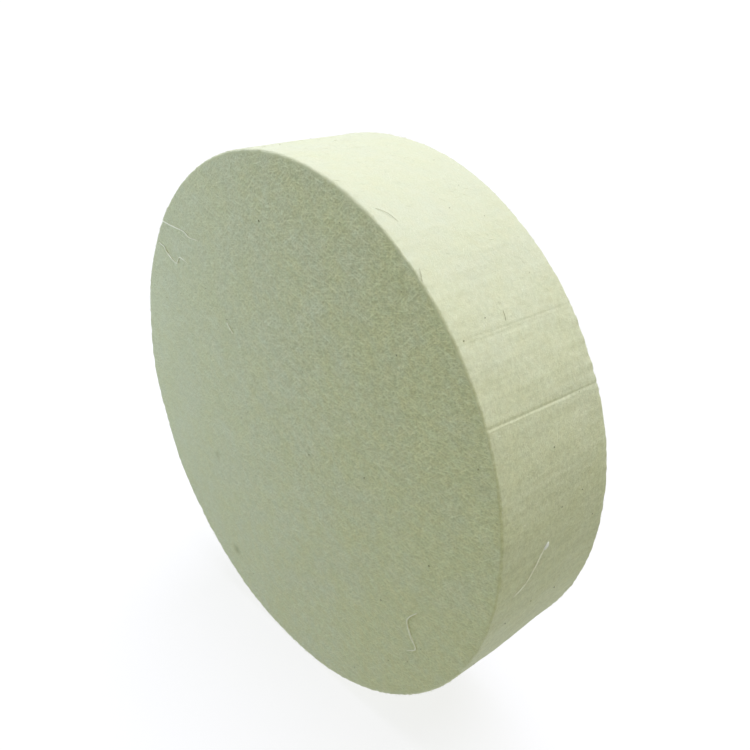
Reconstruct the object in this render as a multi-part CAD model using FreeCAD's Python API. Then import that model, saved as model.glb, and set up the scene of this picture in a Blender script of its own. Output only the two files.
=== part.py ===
import FreeCAD, Part
import math
import os

# Screw-on felt polishing wheel: a thick disc of hard pressed wool felt with a closed front face.
#
# The polishing face and the rim are one piece of felt, cut from a slab. The felt can't hold a thread,
# so a stiff plate is bonded to its back, and a threaded hub is riveted through that plate to a clamp
# ring. The ring, the rivets' inner heads and the hub's nose sit in a stepped pocket in the felt.
#
# Frame, in millimetres: the wheel stands on its rim, +Z up, and turns about Y. The origin is on the
# wheel's axis, at the hub's end face, which seats on the shoulder of the machine's spindle. The
# felt's closed face looks along -Y and the spindle comes in along -Y from the +Y side.

# Driving dimensions
WHEEL_DIAMETER = 100.0
WHEEL_THICKNESS = 25.0
WHEEL_EDGE_RADIUS = 0.6

PLATE_DIAMETER = 84.0
PLATE_THICKNESS = 3.0
PLATE_EDGE_CHAMFER = 0.8
FILM_THICKNESS = 0.3
FILM_INSET = 1.0  # the adhesive stops this far inside the plate's edge

THREAD_MAJOR_DIAMETER = 14.0  # M14 coarse
THREAD_PITCH = 2.0
COUNTERSINK_DIAMETER = 14.1  # at both ends of the thread
COUNTERSINK_ANGLE = 120.0
HUB_HEX_ACROSS_FLATS = 22.0
HUB_HEX_LENGTH = 10.0
HUB_HEX_CHAMFER_ANGLE = 30.0
HUB_SEAT_INSET = 0.5  # the round seat face is this much smaller in radius than the hexagon's flats
HUB_FLANGE_DIAMETER = 46.0
HUB_FLANGE_THICKNESS = 3.0
HUB_FLANGE_CHAMFER = 0.6
HUB_NOSE_DIAMETER = 22.0
HUB_LENGTH = 20.0
HUB_NOSE_CLEARANCE = 0.1  # radial, to the plate and the ring

RING_THICKNESS = 1.5

RIVET_COUNT = 6
RIVET_CIRCLE_DIAMETER = 34.0
RIVET_SHANK_DIAMETER = 4.0
RIVET_HOLE_CLEARANCE = 0.05  # radial
RIVET_HEAD_DIAMETER = 6.6
RIVET_OUTER_HEAD_HEIGHT = 2.0
RIVET_INNER_HEAD_HEIGHT = 1.2

POCKET_CLEARANCE = 1.0  # radial, round the clamp ring
POCKET_FLOOR_CLEARANCE = 0.4  # under the rivets' inner heads
WELL_CLEARANCE = 1.0  # radial, round the hub's nose
WELL_OVERRUN = 7.0  # room past the nose for the end of the spindle

# The ISO metric thread's minor diameter, which is the bore's wall here
THREAD_MINOR_RADIUS = (THREAD_MAJOR_DIAMETER - 1.0825 * THREAD_PITCH) / 2
COUNTERSINK_RADIUS = COUNTERSINK_DIAMETER / 2
COUNTERSINK_DEPTH = (COUNTERSINK_RADIUS - THREAD_MINOR_RADIUS) / math.tan(math.radians(COUNTERSINK_ANGLE / 2))

# Stations along the axis, from the hub's seat towards the felt's front face
SEAT_Y = 0.0
FLANGE_BACK_Y = SEAT_Y - HUB_HEX_LENGTH
PLATE_BACK_Y = FLANGE_BACK_Y - HUB_FLANGE_THICKNESS
PLATE_FRONT_Y = PLATE_BACK_Y - PLATE_THICKNESS
FELT_BACK_Y = PLATE_FRONT_Y - FILM_THICKNESS
FELT_FRONT_Y = FELT_BACK_Y - WHEEL_THICKNESS
RING_FRONT_Y = PLATE_FRONT_Y - RING_THICKNESS
POCKET_FLOOR_Y = RING_FRONT_Y - RIVET_INNER_HEAD_HEIGHT - POCKET_FLOOR_CLEARANCE
HUB_FRONT_Y = SEAT_Y - HUB_LENGTH
WELL_FLOOR_Y = HUB_FRONT_Y - WELL_OVERRUN

# Radii
WHEEL_RADIUS = WHEEL_DIAMETER / 2
PLATE_RADIUS = PLATE_DIAMETER / 2
FLANGE_RADIUS = HUB_FLANGE_DIAMETER / 2
NOSE_RADIUS = HUB_NOSE_DIAMETER / 2
POCKET_RADIUS = FLANGE_RADIUS + POCKET_CLEARANCE
WELL_RADIUS = NOSE_RADIUS + WELL_CLEARANCE
RIVET_HOLE_RADIUS = RIVET_SHANK_DIAMETER / 2 + RIVET_HOLE_CLEARANCE

ORIGIN = FreeCAD.Vector(0, 0, 0)
AXIS = FreeCAD.Vector(0, 1, 0)
FULL_TURN = 360.0
HEX_CORNERS = 6
TOOL_OVERRUN = 1.0  # a cutter passes the face that it opens by this much
SAME_PLACE = 1e-6  # two lengths that differ by less are the same


def at(radius, y):
    """The point of a half section that lies at this radius and this station on the axis."""
    return FreeCAD.Vector(radius, y, 0)


def turned(corners):
    """The solid that a closed half section of straight sides sweeps about the wheel's axis."""
    points = [at(radius, y) for radius, y in corners]
    section = Part.Face(Part.makePolygon(points + points[:1]))
    return section.revolve(ORIGIN, AXIS, FULL_TURN)


def cylinder(radius, y_from, y_to, centre=ORIGIN):
    """A cylinder along the wheel's axis, or along a line beside it."""
    base = FreeCAD.Vector(centre.x, y_from, centre.z)
    return Part.makeCylinder(radius, y_to - y_from, base, AXIS)


def round_the_axis(count, radius, y):
    """Points evenly spaced on a circle about the wheel's axis. The first is straight above it."""
    for i in range(count):
        angle = 2 * math.pi * i / count
        yield FreeCAD.Vector(radius * math.sin(angle), y, radius * math.cos(angle))


def rivet_centres():
    """The rivets' places round the axis."""
    return round_the_axis(RIVET_COUNT, RIVET_CIRCLE_DIAMETER / 2, SEAT_Y)


def with_rivet_holes(shape, y_from, y_to):
    """The shape with the rivets' clearance holes drilled through it."""
    for centre in rivet_centres():
        shape = shape.cut(cylinder(RIVET_HOLE_RADIUS, y_from - TOOL_OVERRUN, y_to + TOOL_OVERRUN, centre))
    return shape


def rounded(shape, radius, y):
    """The shape with the round edge at this radius and station filleted."""

    def is_wanted(edge):
        curve = edge.Curve
        return (
            isinstance(curve, Part.Circle)
            and abs(curve.Radius - radius) < SAME_PLACE
            and abs(curve.Center.y - y) < SAME_PLACE
        )

    return shape.makeFillet(WHEEL_EDGE_RADIUS, [e for e in shape.Edges if is_wanted(e)])


def felt_wheel():
    """The felt disc: closed in front, with a stepped pocket in its back for the hub's inner end."""
    disc = cylinder(WHEEL_RADIUS, FELT_FRONT_Y, FELT_BACK_Y)
    disc = rounded(disc, WHEEL_RADIUS, FELT_FRONT_Y)
    disc = rounded(disc, WHEEL_RADIUS, FELT_BACK_Y)
    disc = disc.cut(cylinder(POCKET_RADIUS, POCKET_FLOOR_Y, FELT_BACK_Y + TOOL_OVERRUN))
    return disc.cut(cylinder(WELL_RADIUS, WELL_FLOOR_Y, FELT_BACK_Y + TOOL_OVERRUN))


def adhesive_film():
    """The ring of contact adhesive between the felt and the plate."""
    outer = cylinder(PLATE_RADIUS - FILM_INSET, FELT_BACK_Y, PLATE_FRONT_Y)
    return outer.cut(cylinder(POCKET_RADIUS, FELT_BACK_Y - TOOL_OVERRUN, PLATE_FRONT_Y + TOOL_OVERRUN))


def backing_plate():
    """The stiff plate, with its back edge chamfered, a hole for the hub's nose and the rivets' holes."""
    hole = NOSE_RADIUS + HUB_NOSE_CLEARANCE
    plate = turned(
        [
            (hole, PLATE_FRONT_Y),
            (PLATE_RADIUS, PLATE_FRONT_Y),
            (PLATE_RADIUS, PLATE_BACK_Y - PLATE_EDGE_CHAMFER),
            (PLATE_RADIUS - PLATE_EDGE_CHAMFER, PLATE_BACK_Y),
            (hole, PLATE_BACK_Y),
        ]
    )
    return with_rivet_holes(plate, PLATE_FRONT_Y, PLATE_BACK_Y)


def clamp_ring():
    """The washer that takes the rivets' pull on the felt side of the plate."""
    ring = cylinder(FLANGE_RADIUS, RING_FRONT_Y, PLATE_FRONT_Y)
    hole = NOSE_RADIUS + HUB_NOSE_CLEARANCE
    ring = ring.cut(cylinder(hole, RING_FRONT_Y - TOOL_OVERRUN, PLATE_FRONT_Y + TOOL_OVERRUN))
    return with_rivet_holes(ring, RING_FRONT_Y, PLATE_FRONT_Y)


def hexagonal_boss():
    """The hub's spanner hexagon, with its corners turned off at the seat as on a nut."""
    corner_radius = HUB_HEX_ACROSS_FLATS / math.sqrt(3)
    corners = list(round_the_axis(HEX_CORNERS, corner_radius, FLANGE_BACK_Y))
    boss = Part.Face(Part.makePolygon(corners + corners[:1])).extrude(AXIS * HUB_HEX_LENGTH)
    face_radius = HUB_HEX_ACROSS_FLATS / 2 - HUB_SEAT_INSET
    cone_rise = (corner_radius - face_radius) * math.tan(math.radians(HUB_HEX_CHAMFER_ANGLE))
    envelope = turned(
        [
            (0, FLANGE_BACK_Y),
            (corner_radius, FLANGE_BACK_Y),
            (corner_radius, SEAT_Y - cone_rise),
            (face_radius, SEAT_Y),
            (0, SEAT_Y),
        ]
    )
    return boss.common(envelope)


def threaded_hub():
    """The hub: hexagon, flange and nose, bored at the thread's minor diameter, countersunk at both ends."""
    body = turned(
        [
            (0, HUB_FRONT_Y),
            (NOSE_RADIUS, HUB_FRONT_Y),
            (NOSE_RADIUS, PLATE_BACK_Y),
            (FLANGE_RADIUS, PLATE_BACK_Y),
            (FLANGE_RADIUS, FLANGE_BACK_Y - HUB_FLANGE_CHAMFER),
            (FLANGE_RADIUS - HUB_FLANGE_CHAMFER, FLANGE_BACK_Y),
            (0, FLANGE_BACK_Y),
        ]
    )
    bore = turned(
        [
            (0, HUB_FRONT_Y),
            (COUNTERSINK_RADIUS, HUB_FRONT_Y),
            (THREAD_MINOR_RADIUS, HUB_FRONT_Y + COUNTERSINK_DEPTH),
            (THREAD_MINOR_RADIUS, SEAT_Y - COUNTERSINK_DEPTH),
            (COUNTERSINK_RADIUS, SEAT_Y),
            (0, SEAT_Y),
        ]
    )
    hub = body.fuse(hexagonal_boss()).removeSplitter().cut(bore)
    return with_rivet_holes(hub, PLATE_BACK_Y, FLANGE_BACK_Y)


def rivet(centre):
    """One rivet: a round head on the hub's flange, a shank, and a flat formed head on the clamp ring."""
    head_radius = RIVET_HEAD_DIAMETER / 2
    dome_radius = (head_radius**2 + RIVET_OUTER_HEAD_HEIGHT**2) / (2 * RIVET_OUTER_HEAD_HEIGHT)
    dome_centre = FreeCAD.Vector(centre.x, FLANGE_BACK_Y + RIVET_OUTER_HEAD_HEIGHT - dome_radius, centre.z)
    dome = Part.makeSphere(dome_radius, dome_centre).common(
        cylinder(head_radius + TOOL_OVERRUN, FLANGE_BACK_Y, FLANGE_BACK_Y + RIVET_OUTER_HEAD_HEIGHT, centre)
    )
    shank = cylinder(RIVET_SHANK_DIAMETER / 2, RING_FRONT_Y, FLANGE_BACK_Y, centre)
    formed_head = cylinder(head_radius, RING_FRONT_Y - RIVET_INNER_HEAD_HEIGHT, RING_FRONT_Y, centre)
    return dome.fuse([shank, formed_head]).removeSplitter()


def hub_rivets():
    """The rivets, as one group of separate solids."""
    return Part.makeCompound([rivet(centre) for centre in rivet_centres()])


PARTS = {
    "felt_wheel": felt_wheel,
    "adhesive_film": adhesive_film,
    "backing_plate": backing_plate,
    "clamp_ring": clamp_ring,
    "threaded_hub": threaded_hub,
    "hub_rivets": hub_rivets,
}

os.makedirs("parts", exist_ok=True)
for name, make in PARTS.items():
    shape = make()
    print(f"{name}: {len(shape.Solids)} solid(s), {shape.Volume / 1000:.2f} cm3, valid {shape.isValid()}")
    shape.exportStep(f"parts/{name}.step")
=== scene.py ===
import math

import bmesh
import bpy
import numpy as np
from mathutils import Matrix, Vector


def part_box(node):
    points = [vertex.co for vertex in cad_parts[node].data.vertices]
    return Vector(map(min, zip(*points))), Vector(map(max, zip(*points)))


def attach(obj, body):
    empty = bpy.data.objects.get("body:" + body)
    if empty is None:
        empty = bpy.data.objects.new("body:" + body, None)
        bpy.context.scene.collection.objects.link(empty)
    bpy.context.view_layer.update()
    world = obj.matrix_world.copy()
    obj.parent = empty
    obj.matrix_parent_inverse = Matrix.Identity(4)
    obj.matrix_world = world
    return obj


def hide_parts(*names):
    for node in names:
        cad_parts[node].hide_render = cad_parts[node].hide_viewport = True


# Screw-on felt polishing wheel. The wheel's axis is Y, its closed felt face looks along -Y, and the hub
# is on the +Y side. Everything is in metres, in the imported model's frame.
#
# A point on the wheel is given by its clock angle, its radius and its station. The clock angle is
# measured about the axis from straight up towards +X, and the station is the point's y.

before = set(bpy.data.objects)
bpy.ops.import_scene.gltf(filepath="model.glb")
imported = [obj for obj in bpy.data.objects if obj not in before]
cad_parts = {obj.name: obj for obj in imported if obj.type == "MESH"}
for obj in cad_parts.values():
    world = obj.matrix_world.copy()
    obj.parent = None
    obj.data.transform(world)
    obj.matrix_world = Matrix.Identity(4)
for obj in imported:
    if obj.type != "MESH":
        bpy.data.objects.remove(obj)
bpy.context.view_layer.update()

MM = 0.001
FULL_TURN = 2 * math.pi
AXIS = np.array([0.0, 1.0, 0.0])
RANDOM_SEED = 20


# ----------------------------------------------------------------------
# Places and sizes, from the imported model
# ----------------------------------------------------------------------


def extent(node):
    """(radius, lowest station, highest station) of a round CAD node."""
    low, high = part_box(node)
    return high.x, low.y, high.y


WHEEL_RADIUS, FACE_Y, FELT_BACK_Y = extent("felt_wheel")
PLATE_RADIUS, PLATE_FRONT_Y, PLATE_BACK_Y = extent("backing_plate")
FILM_RADIUS, _, _ = extent("adhesive_film")
RING_RADIUS, RING_FRONT_Y, _ = extent("clamp_ring")
FLANGE_RADIUS, HUB_FRONT_Y, SEAT_Y = extent("threaded_hub")
_, RIVET_FRONT_Y, RIVET_BACK_Y = extent("hub_rivets")
MIDDLE_Y = (FACE_Y + FELT_BACK_Y) / 2
WHEEL_CENTRE = Vector((0, MIDDLE_Y, 0))

EDGE_RADIUS = 0.45 * MM
POCKET_RADIUS = RING_RADIUS + 1.0 * MM
POCKET_FLOOR_Y = RIVET_FRONT_Y - 0.4 * MM
WELL_RADIUS = 12.0 * MM
WELL_FLOOR_Y = HUB_FRONT_Y - 7.0 * MM

FLANGE_BACK_Y = SEAT_Y - 10.0 * MM
FLANGE_CHAMFER = 0.6 * MM
HEX_HALF_WIDTH = 11.0 * MM
SEAT_RADIUS = 10.5 * MM
NOSE_RADIUS = 11.0 * MM
THREAD_PITCH = 2.0 * MM
THREAD_MAJOR_RADIUS = 7.0 * MM
THREAD_MINOR_RADIUS = 5.9175 * MM
COUNTERSINK_RADIUS = 7.05 * MM
COUNTERSINK_SLOPE = math.tan(math.radians(60))  # fall in radius for each unit of depth

RIVET_COUNT = 6
RIVET_CIRCLE_RADIUS = 17.0 * MM
RIVET_HEAD_RADIUS = 3.3 * MM
RIVET_SHANK_RADIUS = 2.0 * MM


# ----------------------------------------------------------------------
# Meshes
# ----------------------------------------------------------------------


def on_wheel(clock, radius, station):
    """Points at these clock angles, radii and stations, as an array whose last axis is x, y, z."""
    clock, radius, station = np.broadcast_arrays(clock, radius, station)
    return np.stack([radius * np.sin(clock), station, radius * np.cos(clock)], axis=-1)


def make_piece(name, vertices, faces, material, sharp_above=None):
    """A mesh object with outward normals, smooth shaded, sharp where its faces meet above an angle."""
    mesh = bpy.data.meshes.new(name)
    mesh.from_pydata(np.asarray(vertices).reshape(-1, 3).tolist(), [], faces)
    shape = bmesh.new()
    shape.from_mesh(mesh)
    bmesh.ops.recalc_face_normals(shape, faces=shape.faces)
    shape.to_mesh(mesh)
    shape.free()
    mesh.shade_smooth()
    if sharp_above is not None:
        mesh.set_sharp_from_angle(angle=math.radians(sharp_above))
    mesh.materials.append(material)
    piece = bpy.data.objects.new(name, mesh)
    bpy.context.scene.collection.objects.link(piece)
    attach(piece, "root")
    return piece


def band(first, second):
    """The quads between two rows of vertex numbers that both run once round."""
    nxt = np.roll(np.arange(len(first)), -1)
    return np.stack([first, first[nxt], second[nxt], second], axis=1).tolist()


def ring_faces(rows, closed):
    """The quads of a stack of rings of points. A closed stack joins its last ring to its first."""
    number = np.arange(rows.shape[0] * rows.shape[1]).reshape(rows.shape[:2])
    faces = []
    for i in range(len(rows) - 1):
        faces += band(number[i], number[i + 1])
    if closed:
        faces += band(number[-1], number[0])
    return faces


EASE_STEPS = 3


def eased(corners, reach):
    """An outline with some of its corners as short curves. Each corner is (radius, station, eased or not)."""
    width = max(np.size(radius) for radius, _, _ in corners)
    points = [np.array([np.broadcast_to(part, width) for part in corner[:2]]) for corner in corners]
    outline = []
    for i, here in enumerate(points):
        if not corners[i][2]:
            outline.append(here)
            continue
        back = points[i - 1] - here
        on = points[(i + 1) % len(points)] - here
        back = back / np.linalg.norm(back, axis=0)
        on = on / np.linalg.norm(on, axis=0)
        for t in np.linspace(0, 1, EASE_STEPS + 1):
            outline.append(here + reach * (back * (1 - t) ** 2 + on * t**2))
    return outline


def lathe(outline, clock):
    """The rows of points that an outline of (radius, station) pairs sweeps through these clock angles."""
    return np.array([on_wheel(clock, radius, station) for radius, station in outline])


RIPPLE_WAVES = 28


def ripples(points, wavelength, seed):
    """A smooth random height of about unit size at each point, whose bumps are about a wavelength apart."""
    random = np.random.default_rng(seed)
    direction = random.normal(size=(RIPPLE_WAVES, 3))
    direction /= np.linalg.norm(direction, axis=1)[:, None]
    waves = direction * (FULL_TURN / wavelength * random.uniform(0.7, 1.4, RIPPLE_WAVES))[:, None]
    phase = random.uniform(0, FULL_TURN, RIPPLE_WAVES)
    return np.cos(points @ waves.T + phase).sum(axis=-1) * math.sqrt(2 / RIPPLE_WAVES)


# ----------------------------------------------------------------------
# Materials
# ----------------------------------------------------------------------


class Nodes:
    """A short way to build a material's node tree."""

    def __init__(self, name):
        self.material = bpy.data.materials.new(name)
        self.material.use_nodes = True
        self.tree = self.material.node_tree
        self.shader = self.tree.nodes["Principled BSDF"]

    def add(self, kind, inputs=(), **settings):
        """A node of this kind, with its settings, and its inputs set or linked by name or number."""
        node = self.tree.nodes.new("ShaderNode" + kind)
        for key, value in settings.items():
            setattr(node, key, value)
        for key, value in dict(inputs).items():
            self.put(node.inputs[key], value)
        return node

    def put(self, socket, value):
        """Links an output to this input, or sets the input's own value."""
        if isinstance(value, bpy.types.NodeSocket):
            self.tree.links.new(value, socket)
        else:
            socket.default_value = value

    def set(self, **inputs):
        """Sets or links the shader's inputs, named with _ for a space."""
        for key, value in inputs.items():
            self.put(self.shader.inputs[key.replace("_", " ")], value)

    def place(self):
        """The surface point, in millimetres."""
        point = self.add("TexCoord").outputs["Object"]
        return self.add("VectorMath", {0: point, "Scale": 1 / MM}, operation="SCALE").outputs[0]

    def stretched(self, place, size, turn=0.0, shift=0.0):
        """The point in units of size, one number or one for each axis, turned about the wheel's axis."""
        scale = tuple(1 / s for s in np.broadcast_to(size, 3).tolist())
        turned = self.add("VectorRotate", {"Vector": place, "Angle": turn}, rotation_type="Y_AXIS")
        inputs = {0: turned.outputs[0], 1: scale, 2: (shift, shift, shift)}
        return self.add("VectorMath", inputs, operation="MULTIPLY_ADD").outputs[0]

    def noise(self, place, detail=2.0, roughness=0.5, distortion=0.0):
        """Noise whose grains are about one unit of place across."""
        inputs = {
            "Vector": place,
            "Scale": 1.0,
            "Detail": detail,
            "Roughness": roughness,
            "Distortion": distortion,
        }
        return self.add("TexNoise", inputs).outputs["Fac"]

    def maths(self, operation, *values):
        return self.add("Math", dict(enumerate(values)), operation=operation).outputs[0]

    def plus(self, first, second):
        return self.maths("ADD", first, second)

    def times(self, first, second):
        return self.maths("MULTIPLY", first, second)

    def ramp(self, value, low, high, to_low=0.0, to_high=1.0):
        """Value mapped from low..high to to_low..to_high, smoothly and without going past them."""
        inputs = {"Value": value, "From Min": low, "From Max": high, "To Min": to_low, "To Max": to_high}
        return self.add("MapRange", inputs, interpolation_type="SMOOTHSTEP").outputs["Result"]

    def blend(self, factor, first, second, mode="MIX"):
        """A mix of two colours."""
        node = self.add("Mix", data_type="RGBA", blend_type=mode)
        self.put(node.inputs["Factor"], factor)
        self.put(node.inputs["A"], first)
        self.put(node.inputs["B"], second)
        return node.outputs["Result"]

    def threads(self, place, size, turn, shift):
        """Thin winding lines, 1 along their middle and 0 off them."""
        level = self.noise(self.stretched(place, size, turn, shift), detail=1, distortion=0.8)
        off = self.maths("ABSOLUTE", self.maths("SUBTRACT", level, 0.5))
        return self.ramp(off, 0.0, 0.045, 1.0, 0.0)

    def from_axis(self, place):
        """The point's distance from the wheel's axis, in millimetres."""
        flat = self.add("VectorMath", {0: place, 1: (1, 0, 1)}, operation="MULTIPLY").outputs[0]
        return self.add("VectorMath", {0: flat}, operation="LENGTH").outputs["Value"]

    def bump(self, height, strength, depth):
        """A normal from a height of about unit size that stands for this depth in metres."""
        inputs = {"Height": height, "Strength": strength, "Distance": depth}
        return self.add("Bump", inputs).outputs["Normal"]


def colour(red, green, blue):
    return (red, green, blue, 1.0)


STRAND_TURNS = (-0.25, 0.25, 0.75)  # how the drawn strands lean from level, in radians
# Soft grey smudges on the face: x, z and reach in millimetres, and how much each darkens the felt
SMUDGES = [(-25.8, -16.0, 1.5, 0.16), (-21.5, -38.0, 1.8, 0.24)]


def felt_material():
    """Pressed wool felt: matted fibres that mostly lie level, faint blotches, and cut marks on the rim."""
    n = Nodes("wool_felt")
    place = n.place()
    parts = n.add("SeparateXYZ", {0: place}).outputs
    on_rim = n.ramp(n.from_axis(place), WHEEL_RADIUS / MM - 0.9, WHEEL_RADIUS / MM - 0.25)
    on_top = n.times(on_rim, n.ramp(parts[2], 0, 42))
    on_side = n.times(on_rim, n.ramp(n.maths("ABSOLUTE", parts[0]), 20, 45))
    lively = n.ramp(parts[0], -45, 10, 0.65, 1.05)  # the felt's texture and blotches are fainter towards its left side

    def by_side(flat, rim):
        """One value on the flat sides and another on the rim."""
        return n.ramp(on_rim, 0.0, 1.0, flat, rim)

    blotch = n.noise(n.stretched(place, 8), detail=6, roughness=0.68)
    warmth = n.noise(n.stretched(place, 1.6, shift=7), detail=4, roughness=0.75)
    grain = n.noise(n.stretched(place, 0.38, shift=3), detail=3, roughness=0.7)
    strands, threads = None, None
    for i, turn in enumerate(STRAND_TURNS):
        lying = n.stretched(place, (2.4, 0.24, 0.24), turn, 11 * i)
        one = n.noise(lying, detail=2, roughness=0.7, distortion=0.2)
        strands = one if strands is None else n.maths("MAXIMUM", strands, one)
        one = n.threads(place, (2.6, 0.55, 0.55), turn, 5 + 13 * i)
        threads = one if threads is None else n.plus(threads, one)
    cuts = n.noise(n.stretched(place, (1.3, 16, 1.3)), detail=3, roughness=0.65, distortion=0.2)
    pits = n.noise(n.stretched(place, 0.8, shift=9), detail=2, roughness=0.6)

    cool = colour(0.670, 0.701, 0.508)
    warm = colour(0.677, 0.700, 0.443)
    uneven = n.maths("SUBTRACT", n.ramp(blotch, 0.3, 0.7), 0.5)
    uneven = n.times(uneven, n.times(lively, by_side(1.0, 0.45)))
    yellowed = by_side(n.ramp(parts[0], 0, 38, 0.3, 0.9), n.ramp(parts[0], 25, 48, 0.45, 0.8))
    tint = n.blend(n.plus(uneven, yellowed), cool, warm)
    redness = n.maths("MULTIPLY_ADD", n.ramp(warmth, 0.3, 0.7, -0.5, 0.5), lively, 0.5)
    blush = n.blend(redness, colour(0.982, 1.006, 1.03), colour(1.018, 0.994, 0.97))
    tint = n.blend(by_side(1.0, 0.5), tint, n.blend(1.0, tint, blush, "MULTIPLY"))
    shade = n.plus(n.ramp(grain, 0.25, 0.75, -0.12, 0.12), n.ramp(strands, 0.4, 0.8, -0.145, 0.145))
    shade = n.plus(shade, n.times(threads, 0.035))
    rising = n.ramp(parts[2], -40, 35, 0.75, 1.3)
    # Painted highlight: on the rim's top the texture is faded to a quarter, where the bright key light washes
    # it out. The texture is also fainter to the left and lower down.
    for share in (lively, rising, by_side(1.0, 0.55), n.ramp(on_top, 0.0, 1.0, 1.0, 0.25)):
        shade = n.times(shade, share)
    streak = n.ramp(cuts, 0.3, 0.7, -0.05, 0.042)
    mottle = n.ramp(pits, 0.3, 0.7, -0.052, 0.052)
    marked = n.times(on_side, n.plus(streak, mottle))
    shade = n.plus(n.plus(shade, marked), 0.99)
    for x, z, reach, depth in SMUDGES:
        centre = Vector((x, FACE_Y / MM, z))
        away = n.add("VectorMath", {0: place, 1: centre}, operation="DISTANCE").outputs["Value"]
        away = n.plus(away, n.times(warmth, reach))
        shade = n.maths("SUBTRACT", shade, n.ramp(away, 0.5 * reach, 1.6 * reach, depth, 0.0))
    grey = n.add("CombineColor", {0: shade, 1: shade, 2: n.maths("POWER", shade, 1.4)}).outputs[0]
    n.set(Base_Color=n.blend(1.0, tint, grey, "MULTIPLY"))

    height = n.plus(n.times(grain, 0.5), n.times(strands, 0.6))
    height = n.plus(height, n.times(threads, 0.15))
    height = n.plus(height, n.times(n.times(cuts, on_side), 0.35))
    n.set(Normal=n.bump(height, 0.5, 0.1 * MM), Roughness=0.95)
    n.set(Sheen_Weight=0.2, Sheen_Roughness=0.6, Specular_IOR_Level=0.15)
    return n.material


def fibre_material(name, base, variation):
    """One wool fibre's surface, whose shade changes a little along it."""
    n = Nodes(name)
    place = n.place()
    shade = n.noise(n.stretched(place, 0.9), detail=1)
    dark = colour(*[c * (1 - variation) for c in base])
    light = colour(*[min(1.0, c * (1 + variation)) for c in base])
    n.set(Base_Color=n.blend(n.ramp(shade, 0.35, 0.65), dark, light), Roughness=0.8)
    n.set(Sheen_Weight=0.3, Specular_IOR_Level=0.3)
    return n.material


def aluminium_material(name, base, turned):
    """Machined aluminium: fine marks round the axis where it was turned, and a little handling wear."""
    n = Nodes(name)
    place = n.place()
    haze = n.noise(n.stretched(place, 5), detail=3)
    radius = n.from_axis(place)
    station = n.add("SeparateXYZ", {0: place}).outputs[1]
    reach = n.plus(radius, station)
    marks = n.add("TexNoise", {"W": n.times(reach, 1.8), "Detail": 2.0}, noise_dimensions="1D")
    dull = colour(*[c * 0.8 for c in base])
    lines = n.times(n.ramp(marks.outputs["Fac"], 0.35, 0.65), turned)
    shown = n.plus(n.times(n.ramp(haze, 0.35, 0.7), 0.4), n.times(lines, 0.6))
    n.set(Base_Color=n.blend(shown, colour(*base), dull), Metallic=1.0)
    height = n.times(marks.outputs["Fac"], turned)
    n.set(Normal=n.bump(height, 0.4, 0.02 * MM), Roughness=n.ramp(haze, 0.3, 0.7, 0.3, 0.42))
    return n.material


def phenolic_material():
    """Black resin moulded over an open glass mesh, whose yarns show paler through it."""
    n = Nodes("glass_phenolic")
    place = n.place()
    parts = n.add("SeparateXYZ", {0: place}).outputs
    yarns = None
    pitch = MESH_PITCH / MM
    for part, other in ((parts[0], parts[2]), (parts[2], parts[0])):
        across = n.maths("PINGPONG", part, pitch / 2)
        row = n.maths("ROUND", n.maths("DIVIDE", part, pitch))
        turn = n.times(n.plus(n.maths("DIVIDE", other, pitch), row), math.pi)
        over = n.ramp(n.maths("COSINE", turn), -1.0, 1.0, 0.35, 1.0)
        one = n.times(n.ramp(across, 0.35, 0.85, 1.0, 0.0), over)
        yarns = one if yarns is None else n.maths("MAXIMUM", yarns, one)
    blotch = n.noise(n.stretched(place, 4), detail=3)
    grain = n.noise(n.stretched(place, 0.3), detail=3, roughness=0.6)
    resin = n.blend(n.ramp(blotch, 0.35, 0.7), colour(0.022, 0.021, 0.02), colour(0.04, 0.038, 0.034))
    yarn = colour(0.13, 0.12, 0.095)
    shown = n.times(yarns, n.ramp(blotch, 0.3, 0.65, 0.25, 0.9))
    n.set(Base_Color=n.blend(shown, resin, yarn), Roughness=n.ramp(grain, 0.3, 0.7, 0.38, 0.62))
    n.set(Normal=n.bump(grain, 0.35, 0.05 * MM))
    return n.material


def adhesive_material():
    """Dried contact adhesive: amber, a little clear, with small bubbles."""
    n = Nodes("contact_adhesive")
    place = n.place()
    thick = n.noise(n.stretched(place, 2.2), detail=2)
    bubbles = n.add("TexVoronoi", {"Vector": place, "Scale": 1.6}).outputs["Distance"]
    base = n.blend(n.ramp(thick, 0.35, 0.65), colour(0.50, 0.30, 0.10), colour(0.66, 0.47, 0.22))
    n.set(Base_Color=base, Roughness=n.ramp(thick, 0.3, 0.7, 0.28, 0.5))
    n.set(Normal=n.bump(bubbles, 0.3, 0.1 * MM), Subsurface_Weight=0.15, Subsurface_Scale=0.4 * MM)
    return n.material


# ----------------------------------------------------------------------
# The felt disc
# ----------------------------------------------------------------------

FACE_CELLS = 200  # the face's grid has this many cells a side, so its edge has four times as many
RIM_ROWS = 26
EDGE_ROWS = 5
BACK_ROWS = 18

# Lines drawn across the rim by the cutter: clock angle in degrees at the face and at the back
SCORED_LINE = (66.1, 67.1)
DOUBLE_LINE = (52.1, 52.7)
DOUBLE_LINE_GAP = 0.62 * MM
# The width, depth and lip of each line's groove
SCORED_GROOVE = (0.16 * MM, 0.08 * MM, 0.03 * MM)
DOUBLE_GROOVE = (0.17 * MM, 0.034 * MM, 0.006 * MM)
# The fine cut marks all along the rim
CUT_WAVES = 14
CUT_PITCH = 1.6 * MM
CUT_DEPTH = 0.017 * MM
GATHER_REACH = math.radians(3.5)  # the mesh's columns gather round both lines over this angle
GATHER = 0.7
# The height and wavelength of the unevenness all over the felt, and of the wear along its edges
UNEVENNESS = [(0.05 * MM, 19 * MM), (0.012 * MM, 4.2 * MM), (0.007 * MM, 1.5 * MM)]
EDGE_WEAR = (0.03 * MM, 1.7 * MM)
EDGE_WEAR_REACH = 0.9 * MM


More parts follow.
